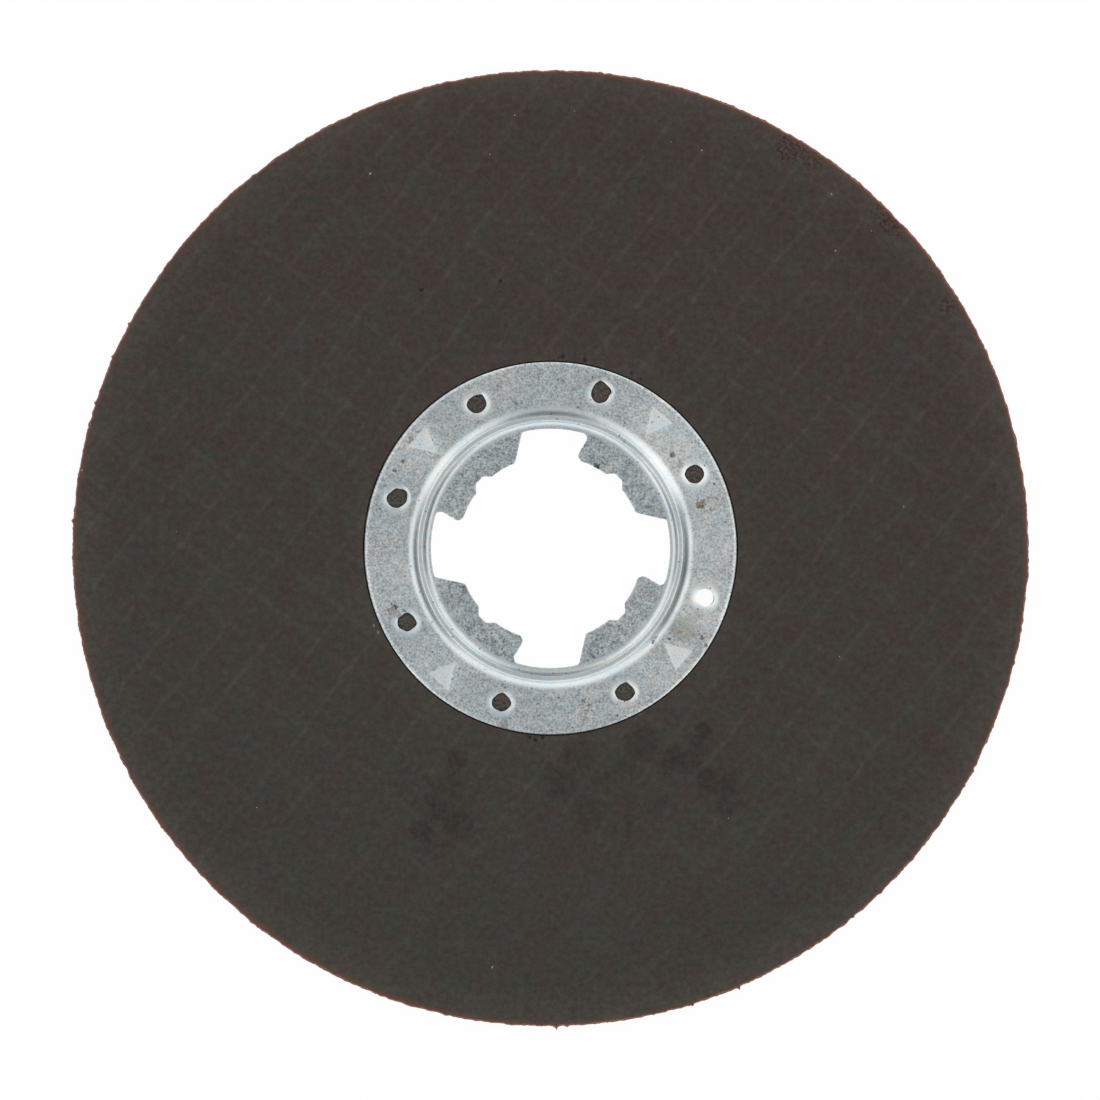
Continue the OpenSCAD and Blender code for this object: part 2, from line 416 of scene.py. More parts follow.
def tab_corners(a):
    """A tab's rounded corners, each with the radius of the arc that leads to it, if any."""
    def bore(degrees):
        return polar(BORE_R, a + degrees)

    def lobe(degrees):
        return polar(LOBE_R, a + degrees)

    def floor(side):
        return turned(Vector((BORE_R + NOTCH_DEPTH, side * NOTCH_FLOOR / 2)), a)

    ramp_root, ramp_tip = lobe(-RAMP_OUT), bore(-RAMP_IN)
    notch_in, notch_out = bore(-NOTCH_HALF), bore(NOTCH_HALF)
    hook_tip, hook_root = bore(HOOK_IN), lobe(HOOK_OUT)
    return [
        (LOBE_R, rounded(lobe(-RAMP_OUT - LEAD), ramp_root, ramp_tip, RAMP_ROOT_R)),
        (None, rounded(ramp_root, ramp_tip, bore(-RAMP_IN + LEAD), RAMP_TIP_R)),
        (BORE_R, rounded(bore(-NOTCH_HALF - LEAD), notch_in, floor(-1), NOTCH_R)),
        (None, rounded(notch_in, floor(-1), floor(1), NOTCH_R)),
        (None, rounded(floor(-1), floor(1), notch_out, NOTCH_R)),
        (None, rounded(floor(1), notch_out, bore(NOTCH_HALF + LEAD), NOTCH_R)),
        (BORE_R, rounded(bore(HOOK_IN - HOOK_LEAD), hook_tip, hook_root, HOOK_TIP_R)),
        (None, rounded(hook_tip, hook_root, lobe(HOOK_OUT + LEAD), HOOK_ROOT_R)),
    ]


def lock_outline():
    """The flange's inner edge, anticlockwise: tabs with ramp, notch and hook, and lobes."""
    corners = []
    for tab in range(TAB_COUNT):
        corners += tab_corners(TAB_ANGLE + tab * TAB_PITCH)
    outline = []
    for i, (radius, points) in enumerate(corners):
        before = corners[i - 1][1][-1]
        outline += along_arc(radius, before, points[0]) if radius else along_line(before, points[0])
        outline += points
    return outline


def grown(loop, distance):
    """A closed anticlockwise loop moved outwards by a small distance."""
    result = []
    for i, p in enumerate(loop):
        d = (loop[(i + 1) % len(loop)] - loop[i - 1]).normalized()
        result.append(p + Vector((d.y, -d.x)) * distance)
    return result


def hole_centre(i):
    """The middle of an anchor hole."""
    return polar(HOLE_CIRCLE_R, HOLE_ANGLE + i * 360 / HOLE_COUNT)


def hole_radius(i, degrees):
    """Radius of an anchor hole's torn edge in a direction."""
    layer = HOLE_LAYER + HOLE_LAYER_STEP * i
    radius = HOLE_R + HOLE_ROUGH * flat_noise(polar(HOLE_NOISE_R, degrees), 1, layer)
    for hole, direction, half_width, depth in HOLE_TEARS:
        if hole == i:
            radius += swelling(degrees, direction, half_width, depth)
    return radius


def mark_corners(i):
    """The three corners of a coined mark, anticlockwise."""
    out = polar(1, MARK_ANGLE + i * TAB_PITCH)
    side = Vector((-out.y, out.x))
    base = out * MARK_BASE_R
    return [out * MARK_APEX_R, base - side * MARK_HALF_W, base + side * MARK_HALF_W]


def mark_loop(i, inset):
    """Points around a coined mark, drawn in towards its middle by a share."""
    corners = mark_corners(i)
    middle = sum(corners, Vector((0, 0))) / 3
    loop = []
    for p, q in zip(corners, corners[1:] + corners[:1]):
        loop += [p.lerp(q, j / MARK_STEPS).lerp(middle, inset) for j in range(MARK_STEPS)]
    return loop


# Mesh of the flange

class Surface(Cloud):
    """One side of the sheet, with closed loops among its points."""

    def __init__(self):
        super().__init__()
        self.loops = []

    def edge(self, rows):
        """Adds rows of points and returns the first, which is kept as a loop."""
        numbers = [self.add(row) for row in rows]
        self.loops.append(numbers[0])
        return numbers[0]


def edge_rows(upper):
    """Rows from the flange's outer edge inwards, rolled over on the upper side."""
    if not upper:
        return [at_height(circle(FLANGE_R, FLANGE_STEPS), SEAT_Z)]
    rows = []
    for k in range(EDGE_STEPS + 1):
        a = math.radians(90 * k / EDGE_STEPS)
        ring = circle(FLANGE_R - EDGE_ROLL * (1 - math.cos(a)), FLANGE_STEPS)
        rows.append(at_height(ring, FLANGE_Z - EDGE_ROUND * (1 - math.sin(a))))
    return rows


def hole_rows(i, upper):
    """Rows from a hole's edge outwards, rolled in on the upper side."""
    rows = []
    for k in range(HOLE_RIM_STEPS + 1 if upper else 1):
        fade = 1 - k / HOLE_RIM_STEPS
        ring = []
        for d in turns(HOLE_STEPS):
            r = HOLE_R + (hole_radius(i, d) - HOLE_R) * fade + HOLE_RIM_R * (1 - fade)
            ring.append(hole_centre(i) + polar(r, d))
        rows.append(at_height(ring, FLANGE_Z - HOLE_RIM_DROP * fade ** HOLE_RIM_CURVE if upper else SEAT_Z))
    return rows


def near_hole(p):
    """Whether a point lies on or near a hole's rim."""
    away = min((p - hole_centre(i)).length for i in range(HOLE_COUNT))
    return away <= HOLE_R + HOLE_RIM_R + HOLE_CLEAR


def near_mark(p):
    """Whether a point lies on or near a coined mark."""
    turn = math.degrees(math.atan2(p.y, p.x)) - MARK_ANGLE
    away = (turn + TAB_PITCH / 2) % TAB_PITCH - TAB_PITCH / 2
    return abs(away) < MARK_CLEAR_TURN and MARK_APEX_R - MARK_CLEAR < p.length < MARK_BASE_R + MARK_CLEAR


def ring_points(r, count, outline, upper):
    """Points around a ring, clear of the holes, the marks and the bore."""
    border = flat_array(outline)

    def near_bore(p):
        return r < LOBE_R + BORE_CLEAR and np.hypot(*(border - tuple(p)).T).min() < BORE_CLEAR

    ring = [p for p in circle(r, count) if not (near_hole(p) or upper and near_mark(p) or near_bore(p))]
    return [p for p, void in zip(ring, covered(flat_array(ring), outline)) if not void]


def flange_side(depth, outline, rings):
    """One side of the sheet, with its outer edge and its voids' edges."""
    upper = depth == 0
    side = Surface()
    outer = side.edge(edge_rows(upper))
    rolls = SHEAR_ROLL if upper else [(0, 0)]
    voids = [side.edge([on_sheet(grown(outline, distance), depth, drop) for distance, drop in rolls])]
    voids += [side.edge(hole_rows(i, upper)) for i in range(HOLE_COUNT)]
    for i in range(TAB_COUNT if upper else 0):
        side.edge([at_height(mark_loop(i, 0.0), FLANGE_Z)])
        side.edge([at_height(mark_loop(i, MARK_BEVEL), FLANGE_Z - MARK_SINK)])
    for r, count in rings:
        side.add(on_sheet(ring_points(r, count, outline, upper), depth))
    return side, outer, voids


def zinc_slots(points, faces):
    """The zinc of each upper face: coined on the marks, lighter by the holes as a painted highlight on their
    rims.
    """
    centres = np.array([np.mean([points[n][:2] for n in f], axis=0) for f in faces])
    slots = np.full(len(faces), PLATE)
    for i in range(TAB_COUNT):
        slots[covered(centres, mark_loop(i, 0.0))] = COINED
    for i in range(HOLE_COUNT):
        away = np.hypot(*(centres - tuple(hole_centre(i))).T)
        # Lighter zinc on the holes' rolled rims: a painted highlight
        slots[away < HOLE_R + HOLE_RIM_R] = HOLE_HIGHLIGHT
    return list(slots)


def flange_mesh(materials):
    """The pressed flange: two sides of one sheet, and the sheared edges between them."""
    outline = lock_outline()
    top, top_edge, top_voids = flange_side(0, outline, UPPER_RINGS)
    low, low_edge, low_voids = flange_side(SHEET_T, outline, LOWER_RINGS)
    shift = len(top.points)
    faces = fill(top.points, top.loops, top_voids)
    slots = zinc_slots(top.points, faces)
    faces += [tuple(shift + n for n in reversed(f)) for f in fill(low.points, low.loops, low_voids)]
    for above, below in zip([top_edge, *top_voids], [low_edge, *low_voids]):
        for i in range(len(above)):
            quad = (above[i - 1], shift + below[i - 1], shift + below[i], above[i])
            faces.append(quad if above is top_edge else quad[::-1])
    slots += [PLATE] * (len(faces) - len(slots))
    return build_mesh("pressed_flange", top.points + low.points, faces, materials, slots, FLANGE_SHARP)


# Mesh of the abrasive disc

class Body(Cloud):
    """The disc's points and faces, with their materials."""

    def __init__(self):
        super().__init__()
        self.faces = []
        self.slots = []

    def face(self, numbers, slot):
        """Adds one face."""
        self.faces.append(tuple(numbers))
        self.slots.append(slot)

    def join(self, first, second, slot):
        """Adds faces between two closed rows."""
        for i in range(len(first)):
            self.face((first[i - 1], second[i - 1], second[i], first[i]), slot)

    def patch(self, loops, downwards):
        """Adds flat skin inside the first loop and outside the others."""
        numbers = sum(loops, [])
        local = {n: i for i, n in enumerate(numbers)}
        edges = [[local[n] for n in loop] for loop in loops]
        for f in fill([self.points[n] for n in numbers], edges, edges[1:]):
            self.face([numbers[i] for i in (reversed(f) if downwards else f)], SKIN)

    def lump(self, rows, slot):
        """Adds a closed lump from rows of points, the lowest first."""
        rings = [self.add(row) for row in rows]
        for low, high in zip(rings, rings[1:]):
            for i in range(len(low)):
                self.face((low[i - 1], low[i], high[i], high[i - 1]), slot)
        self.face(rings[-1], slot)
        self.face(reversed(rings[0]), slot)


def rim_offset(degrees, level):
    """How far the gritty rim stands out at a direction and a share of its height."""
    at = polar(DISC_R, degrees)
    where = Vector((at.x, at.y, level * RIM_LAYERS))
    offset = RIM_FINE * noise.noise(where * RIM_FINE_SCALE)
    offset += RIM_BROAD * noise.noise(where * RIM_BROAD_SCALE + RIM_BROAD_SHIFT)
    offset *= RIM_OUTWARDS if offset > 0 else RIM_INWARDS
    offset += OUT_OF_ROUND * math.cos(2 * math.radians(degrees - LONG_AXIS))
    for direction, half_width, height in RIM_MARKS:
        offset += swelling(degrees, direction, half_width, height)
    return offset


def disc_row(r, z, grit=0, level=0, swell=0):
    """Points around the disc, moved by the rim's grit and lifted by the skin's swell."""
    row = []
    for degrees in turns(DISC_STEPS):
        p = polar(r + (grit * rim_offset(degrees, level) if grit else 0), degrees)
        lift = swell * flat_noise(p, *SWELL)
        row.append((p.x, p.y, z + lift))
    return row


def add_outside(body):
    """Adds face, rim and underside, and returns the inmost rows of face and underside."""
    rows = [body.add(disc_row(*row)) for row in FACE_ROWS + RIM_ROWS + LOW_ROWS]
    rim_start = len(FACE_ROWS)
    rim_end = rim_start + len(RIM_ROWS) - 1
    for k, (inner, outer) in enumerate(zip(rows, rows[1:])):
        body.join(inner, outer, RIM if rim_start <= k < rim_end else SKIN)
    return rows[0], rows[-1]


def add_seat(body, face_edge, low_edge):
    """Adds the flange's seat, the bore inside it and the open anchor hole through it."""
    low_bore = body.add(disc_row(DISC_BORE_R, 0))
    seat_bore = body.add(disc_row(DISC_BORE_R, SEAT_Z))
    seat_edge = body.add(disc_row(SEAT_R, SEAT_Z))
    hole = circle(HOLE_R, HOLE_STEPS, hole_centre(OPEN_HOLE))
    hole_low = body.add(at_height(hole, 0))
    hole_high = body.add(at_height(hole, SEAT_Z))
    body.patch([low_edge, low_bore, hole_low], downwards=True)
    body.patch([seat_edge, seat_bore, hole_high], downwards=False)
    body.join(low_bore, seat_bore, SKIN)
    body.join(seat_edge, face_edge, SKIN)
    body.join(hole_low, hole_high, SKIN)


def plug_rows(i):
    """Rows of a plug in an anchor hole, the lowest first."""
    def ring(share):
        return [hole_centre(i) + polar((hole_radius(i, d) - PLUG_GAP) * share, d) for d in turns(HOLE_STEPS)]

    def height(p, lift):
        return PLUG_Z + lift + PLUG_ROUGH * flat_noise(p, *PLUG_GRIT)

    rows = [at_height(ring(1.0), SEAT_Z)]
    rows += [[(p.x, p.y, height(p, lift)) for p in ring(share)] for share, lift in PLUG_ROWS]
    return rows


def fleck_rows(x, y, half_length, half_width, turn):
    """Rows of a ragged fleck, the lowest first."""
    rows = []
    for share, z in FLECK_ROWS:
        ring = []
        for k, corner in enumerate(circle(share, FLECK_SIDES)):
            ragged = 1 + FLECK_RAGGED * noise.noise(Vector((x + k, y, FLECK_LAYER)))
            p = Vector((corner.x * half_length, corner.y * half_width)) * ragged
            ring.append(Vector((x, y)) + p.x * polar(1, turn) + p.y * polar(1, turn + 90))
        rows.append(at_height(ring, z))
    return rows


def disc_mesh(materials):
    """The abrasive disc, with its plugs and the pale flecks in its face."""
    body = Body()
    add_seat(body, *add_outside(body))
    for i in range(HOLE_COUNT):
        if i != OPEN_HOLE:
            body.lump(plug_rows(i), PLUG)
    for fleck in FLECKS:
        body.lump(fleck_rows(*fleck), FLECK)
    return build_mesh("grained_disc", body.points, body.faces, materials, body.slots, DISC_SHARP)


# Node graphs

# How a dot or a blotch fades, as shares of its radius
DOT_CORE = 0.35
SPOT_END, SPOT_CORE = 1.5, 0.7


class Graph:
    """The node tree of a material or a world."""

    def __init__(self, owner):
        owner.use_nodes = True
        self.tree = owner.node_tree
        self.tree.nodes.clear()

    def feed(self, socket, value):
        """Links an output to a socket, or sets the socket to a constant."""
        if isinstance(value, bpy.types.NodeSocket):
            self.tree.links.new(value, socket)
        else:
            socket.default_value = value

    def node(self, kind, inputs=None, **settings):
        """A node with its settings made and its inputs fed."""
        made = self.tree.nodes.new(kind)
        for name, value in settings.items():
            setattr(made, name, value)
        for key, value in (inputs or {}).items():
            self.feed(made.inputs[key], value)
        return made

    def maths(self, operation, *values):
        """The result of a maths node."""
        return self.node("ShaderNodeMath", dict(enumerate(values)), operation=operation).outputs[0]

    def times(self, first, second):
        """A product."""
        return self.maths("MULTIPLY", first, second)

    def plus(self, first, second):
        """A sum."""
        return self.maths("ADD", first, second)

    def scaled(self, value, factor, offset):
        """A value times a factor, plus an offset."""
        return self.maths("MULTIPLY_ADD", value, factor, offset)

    def swing(self, value, width, middle=0.0):
        """A value from 0 to 1 spread over a width about a middle."""
        return self.scaled(value, width, middle - width / 2)

    def stretch(self, value, low, high, to_low=0.0, to_high=1.0):
        """A value taken smoothly from one range to another."""
        inputs = {0: value, 1: low, 2: high, 3: to_low, 4: to_high}
        return self.node("ShaderNodeMapRange", inputs, interpolation_type="SMOOTHSTEP").outputs[0]

    def blend(self, share, first, second):
        """Two values mixed by a share."""
        return self.node("ShaderNodeMix", {0: share, 2: first, 3: second}, data_type="FLOAT").outputs[0]

    def mix(self, share, first, second, mode="MIX"):
        """Two colours mixed by a share."""
        inputs = {0: share, 6: first, 7: second}
        return self.node("ShaderNodeMix", inputs, data_type="RGBA", blend_type=mode).outputs[2]

    def parts(self, vector):
        """The x, y and z of a vector."""
        return self.node("ShaderNodeSeparateXYZ", {0: vector}).outputs

    def joined(self, x, y, z=0.0):
        """A vector from its parts."""
        return self.node("ShaderNodeCombineXYZ", {0: x, 1: y, 2: z}).outputs[0]

    def length(self, vector):
        """The length of a vector."""
        return self.node("ShaderNodeVectorMath", {0: vector}, operation="LENGTH").outputs["Value"]


class Coat(Graph):
    """A material's graph, with its shader and coordinates in millimetres."""

    def __init__(self, name):
        self.material = bpy.data.materials.new(name)
        super().__init__(self.material)
        self.shader = self.node("ShaderNodeBsdfPrincipled")
        self.node("ShaderNodeOutputMaterial", {"Surface": self.shader.outputs["BSDF"]})
        inputs = {0: self.node("ShaderNodeTexCoord").outputs["Object"], 3: 1 / MM}
        self.place = self.node("ShaderNodeVectorMath", inputs, operation="SCALE").outputs[0]

    def grain(self, blotches, place=None):
        """Noise from 0 to 1, by the width of its blotches, its detail and its roughness."""
        width, detail, roughness = blotches
        inputs = {"Vector": place or self.place, "Scale": 1 / width, "Detail": detail, "Roughness": roughness}
        return self.node("ShaderNodeTexNoise", inputs).outputs[0]

    def cells(self, width):
        """A random value for each cell, and the distance from its middle."""
        made = self.node("ShaderNodeTexVoronoi", {"Vector": self.place, "Scale": 1 / width})
        pick = self.node("ShaderNodeSeparateColor", {0: made.outputs["Color"]}).outputs[0]
        return pick, made.outputs["Distance"]

    def dots(self, cell, radius, share):
        """Scattered small dots, in a share of the cells."""
        pick, distance = self.cells(cell)
        near = self.stretch(distance, radius / cell, DOT_CORE * radius / cell)
        return self.times(near, self.maths("LESS_THAN", pick, share))

    def spots(self, places, edge_noise):
        """Soft blotches, broken up by a noise."""
        total = None
        for x, y, radius, strength in places:
            inputs = {0: self.place, 1: (x, y, DISC_T)}
            away = self.node("ShaderNodeVectorMath", inputs, operation="DISTANCE").outputs["Value"]
            away = self.plus(away, self.times(edge_noise, radius))
            blotch = self.stretch(away, SPOT_END * radius, SPOT_CORE * radius, 0.0, strength)
            total = blotch if total is None else self.maths("MAXIMUM", total, blotch)
        return total

    def overlaid(self, colour, share, strength, over):
        """A colour with another laid over it, by a share at a strength."""
        return self.mix(self.times(share, strength), colour, over)

    def bump(self, height, strength, distance):
        """A normal that follows a relief."""
        inputs = {"Height": height, "Strength": strength, "Distance": distance * MM}
        return self.node("ShaderNodeBump", inputs).outputs[0]

    def finished(self, inputs):
        """The material, with the inputs of its shader fed."""
        for name, value in inputs.items():
            self.feed(self.shader.inputs[name], value)
        return self.material


def srgb(r, g, b):
    """A colour from 0 to 255 as the shader takes it."""
    def linear(c):
        c /= 255
        return c / 12.92 if c <= 0.04045 else ((c + 0.055) / 1.055) ** 2.4
    return (linear(r), linear(g), linear(b), 1.0)


# Colours of the abrasive
FACE_BROWN = srgb(66, 54, 50)
FACE_GREEN = srgb(58, 59.5, 53)
FACE_COOL = srgb(63, 57.5, 60)
FACE_LIGHT = srgb(98, 90, 83)
FACE_DARK = srgb(30, 27, 25)
GRIT_LOW = (0.69, 0.69, 0.69, 1.0)
GRIT_HIGH = (1.35, 1.35, 1.35, 1.0)
THREAD_GREY = srgb(104, 99, 90)
FLECK_GREY = srgb(130, 130, 124)
FLECK_WHITE = srgb(180, 180, 174)
PIT_BLACK = srgb(26, 22, 21)
SMUDGE_BLUE = srgb(32, 34, 39)
EDGE_BROWN = srgb(112, 72, 59)
EDGE_PALE = srgb(165, 117, 97)
PORE_RED = srgb(104, 70, 62)
PLUG_DARK = srgb(35, 32, 28)
PLUG_LIGHT = srgb(88, 83, 76)
GRAIN_RED = srgb(120, 66, 52)
GRAIN_DARK = srgb(58, 44, 40)
GRAIN_PALE = srgb(170, 150, 138)

# Colours of the zinc
ZINC_DARK = srgb(115, 127, 132)
ZINC_LIGHT = srgb(244, 250.5, 251.5)
COOL_TINT = (0.92, 1.0, 1.045, 1.0)
WARM_TINT = (1.06, 1.0, 0.955, 1.0)
STAIN_OLIVE = srgb(150, 140, 98)
RUST_BROWN = srgb(112, 80, 46)
PIT_BROWN = srgb(62, 54, 50)

# Colours of the stage
FLOOR_WHITE = (0.92, 0.92, 0.92, 1.0)
WHITE = (1.0, 1.0, 1.0, 1.0)


# Materials of the abrasive; noises are given as width, detail and roughness, spans as ranges

# The glass-fibre mesh: direction, pitch, offset, half width, wander and strength of its two sets
THREAD_SETS = ((52.0, 5.07, 0.154, 0.46, 1.2, 1.0), (144.5, 4.96, -0.475, 0.60, 2.2, 0.6))
THREAD_WANDER = (9.0, 0.0, 0.5)
THREAD_CORE = 0.03
THREAD_COVER, COVER_SPAN = (2.6, 2.0, 0.65), (0.28, 0.72)
COVER_LOW, COVER_HIGH = 0.4, 1.6
LANE_SHIFT = 7.3
CROSSING_SHOW = 0.7
THREAD_FADE = (-50.0, -12.0, 0.45, 1.0)
THREAD_SHOW = 0.048
THREAD_SHINE = -0.06
THREAD_RELIEF = 0.3

# The resin skin
TINT_NOISE, TINT_SPAN = (2.4, 3.0, 0.62), (0.2, 0.8)
COOL_NOISE, COOL_SPAN = (1.6, 2.0, 0.6), (0.45, 0.8, 0.0, 0.5)
BROWN_TO_RIGHT, BROWN_TO_TOP = 0.0006, 0.0016
GRIT_NOISE, GRIT_SPAN = (0.8, 3.0, 0.8), (0.15, 0.85)
CLOUD_NOISE, CLOUD_SWING = (6.0, 1.0, 0.5), 0.14
BARE_SHOW, BARE_WIDTH, BARE_CURVE = 0.24, 7.0, 2.2
SEAT_BARE = (SEAT_R + 4.0, SEAT_R, 0.0, 0.3)
STAIN_NOISE, STAIN_SWING = (1.1, 3.0, 0.8), 3.2
MOTTLE_NOISE, MOTTLE_SPAN = (0.9, 3.0, 0.7), (0.38, 0.58, 0.35, 1.0)
STAIN_SHOW = 0.5
RAGGED_NOISE, RAGGED_SWING = (0.4, 2.0, 0.7), 2.4
PORE_SPAN, PORE_SHOW = (-0.3, 0.4), 0.6
WORN_RAGGED, WORN_SPAN = 0.12, (DISC_R - 0.75, DISC_R + 0.15, 0.0, 0.75)
SKIN_DULL = (0.3, 0.7, 0.82, 0.94)
SKIN_GLOSS = 0.3
SKIN_BUMP = (0.4, 0.03)

# Blotches on the face: x, y, radius and strength
DARK_STAINS = (
    (-11.3, -25.5, 1, 0.8), (-12.2, -28.6, 1.2, 0.6), (-13.9, -31.2, 1.2, 0.9), (-12.9, -32.4, 1, 1),
    (-11.2, -32.8, 1.7, 0.8), (-15.2, -34, 1.3, 0.9), (-15.5, -36, 0.7, 0.8), (-12.7, -36.1, 1.1, 0.4),
    (3.3, -24.7, 1.7, 0.6), (1.4, -28.2, 2, 0.6), (6.4, -27.6, 0.9, 0.6), (9.4, -26.2, 1, 0.6),
    (4.6, -32.2, 1.9, 0.5), (12.6, -31.2, 1.4, 0.6), (9.8, -33, 1.1, 0.5), (11.2, -23.5, 1.8, 0.8),
    (14.4, -25.3, 1.6, 0.9), (16.8, -25.4, 1.6, 0.8), (18.4, -22, 0.9, 1), (17.5, -23.5, 1, 0.8),
    (19, -28, 1.5, 0.8), (21, -28.8, 1.6, 0.9), (20.8, -30.8, 1.2, 0.9), (6, -29.5, 4, 0.3),
    (-13, -30.5, 3.6, 0.3),
)
SEAT_SMUDGES = (
    (1.45, 23.1, 0.26, 1), (0.95, 22.95, 0.16, 0.8), (-2.5, -22.7, 0.2, 1), (-1.8, -23.1, 0.2, 1),
    (-0.9, -22.8, 0.22, 1), (4.1, 22.75, 0.26, 0.8), (9.7, 21.1, 0.26, 0.7), (10.9, 20.4, 0.22, 0.6),
    (-15.5, 31.1, 0.22, 0.9), (-6, 32.2, 0.2, 1),
)
RIM_PORES = (
    (28.9, 48.4, 1.5, 1), (31.5, 46.8, 1, 0.7), (39.5, 40.6, 0.8, 0.8), (40.8, 39.2, 1, 1),
    (42, 38.1, 0.7, 0.8), (47.8, 29, 0.8, 0.8),
)

# The plugs, the flecks and the rim
PLUG_NOISE, PLUG_SPAN = (0.28, 2.0, 0.7), (0.27, 0.73)
PLUG_RED_NOISE, PLUG_RED_SPAN = (0.9, 1.0, 0.5), (0.5, 0.75, 0.0, 0.2)
PLUG_DULL = (0.3, 0.7, 0.9, 0.7)
PLUG_BUMP = (0.6, 0.08)
FLECK_NOISE = (0.1, 1.0, 0.5)
FLECK_DULL = 0.55
RIM_CELL = 0.34
RIM_NOISE, RIM_SPAN = (1.4, 3.0, 0.6), (0.45, 0.7, 0.0, 0.7)
RIM_TOP = (DISC_T - 0.3, DISC_T - 0.05, 0.0, 0.7)
RIM_GLINTS, RIM_GLINT_SHOW = (0.5, 0.09, 0.16), 0.6
RIM_DULL = (0.3, 0.7, 0.65, 0.9)
RIM_GLOSS = 0.4
RIM_BUMP = (0.8, 0.08)


def thread_lines(coat):
    """Two sets of glass threads that print through the skin, weaker towards the bottom."""
    x, y, _ = coat.parts(coat.place)
    wander = coat.grain(THREAD_WANDER)

    def reach(direction):
        return coat.plus(coat.times(x, direction.x), coat.times(y, direction.y))

    sets = []
    for direction, pitch, offset, half_width, waver, strength in THREAD_SETS:
        run = polar(1, direction)
        across = coat.plus(reach(Vector((-run.y, run.x))), coat.swing(wander, waver, offset))
        line = coat.stretch(coat.maths("PINGPONG", across, pitch / 2), half_width, THREAD_CORE)
        lane = coat.maths("ROUND", coat.maths("DIVIDE", across, pitch))
        where = coat.joined(reach(run), coat.times(lane, LANE_SHIFT), direction)
        cover = coat.grain(THREAD_COVER, where)
        cover = coat.stretch(cover, *COVER_SPAN, COVER_LOW * strength, COVER_HIGH * strength)
        sets.append(coat.times(line, cover))
    total = coat.scaled(coat.times(*sets), CROSSING_SHOW, coat.plus(*sets))
    return coat.times(total, coat.stretch(y, *THREAD_FADE))


def skin_base(coat, tint, radius):
    """The skin's brown, green and grey, lighter towards the rim and beside the flange."""
    x, y, _ = coat.parts(coat.place)
    slope = coat.scaled(x, BROWN_TO_RIGHT, coat.times(y, BROWN_TO_TOP))
    colour = coat.mix(coat.stretch(coat.plus(tint, slope), *TINT_SPAN), FACE_GREEN, FACE_BROWN)
    colour = coat.mix(coat.stretch(coat.grain(COOL_NOISE), *COOL_SPAN), colour, FACE_COOL)
    bare = coat.scaled(radius, 1 / BARE_WIDTH, 1 - DISC_R / BARE_WIDTH)
    bare = coat.maths("POWER", coat.maths("MAXIMUM", bare, 0.0), BARE_CURVE)
    bare = coat.plus(bare, coat.stretch(radius, *SEAT_BARE))
    return coat.overlaid(colour, bare, BARE_SHOW, FACE_LIGHT)


def skin_stains(coat, colour):
    """The skin with its dark stains."""
    edge = coat.swing(coat.grain(STAIN_NOISE), STAIN_SWING)
    mottle = coat.stretch(coat.grain(MOTTLE_NOISE), *MOTTLE_SPAN)
    stains = coat.times(coat.spots(DARK_STAINS, edge), mottle)
    return coat.overlaid(colour, stains, STAIN_SHOW, FACE_DARK)


def skin_wear(coat, colour, radius):
    """The skin with smudges by the seat, pores by the rim and a worn edge."""
    ragged = coat.swing(coat.grain(RAGGED_NOISE), RAGGED_SWING)
    colour = coat.mix(coat.spots(SEAT_SMUDGES, ragged), colour, SMUDGE_BLUE)
    pores = coat.mix(coat.stretch(ragged, *PORE_SPAN), PIT_BLACK, PORE_RED)
    colour = coat.overlaid(colour, coat.spots(RIM_PORES, ragged), PORE_SHOW, pores)
    worn = coat.scaled(ragged, WORN_RAGGED, radius)
    return coat.mix(coat.stretch(worn, *WORN_SPAN), colour, EDGE_BROWN)


def face_material():
    """Baked resin skin over grain and glass fibre: matt and nearly black."""
    coat = Coat("resin_skin")
    radius = coat.length(coat.place)
    tint = coat.grain(TINT_NOISE)
    grit = coat.plus(coat.grain(GRIT_NOISE), coat.swing(coat.grain(CLOUD_NOISE), CLOUD_SWING))
    threads = thread_lines(coat)
    colour = skin_stains(coat, skin_base(coat, tint, radius))
    colour = coat.overlaid(colour, threads, THREAD_SHOW, THREAD_GREY)
    shade = coat.mix(coat.stretch(grit, *GRIT_SPAN), GRIT_LOW, GRIT_HIGH)
    colour = coat.mix(1.0, colour, shade, "MULTIPLY")
    return coat.finished({
        "Base Color": skin_wear(coat, colour, radius),
        "Roughness": coat.scaled(threads, THREAD_SHINE, coat.stretch(tint, *SKIN_DULL)),
        "Specular IOR Level": SKIN_GLOSS,
        "Normal": coat.bump(coat.scaled(threads, THREAD_RELIEF, grit), *SKIN_BUMP),
    })


def plug_material():
    """The mix that rose into the anchor holes: rough brown and grey grain."""
    coat = Coat("plug_grain")
    grain = coat.grain(PLUG_NOISE)
    colour = coat.mix(coat.stretch(grain, *PLUG_SPAN), PLUG_DARK, PLUG_LIGHT)
    red = coat.stretch(coat.grain(PLUG_RED_NOISE), *PLUG_RED_SPAN)
    return coat.finished({
        "Base Color": coat.mix(red, colour, GRAIN_RED),
        "Roughness": coat.stretch(grain, *PLUG_DULL),
        "Normal": coat.bump(grain, *PLUG_BUMP),
    })


def fleck_material():
    """Pale glass and grain."""
    coat = Coat("pale_fleck")
    colour = coat.mix(coat.grain(FLECK_NOISE), FLECK_GREY, FLECK_WHITE)
    return coat.finished({"Base Color": colour, "Roughness": FLECK_DULL})


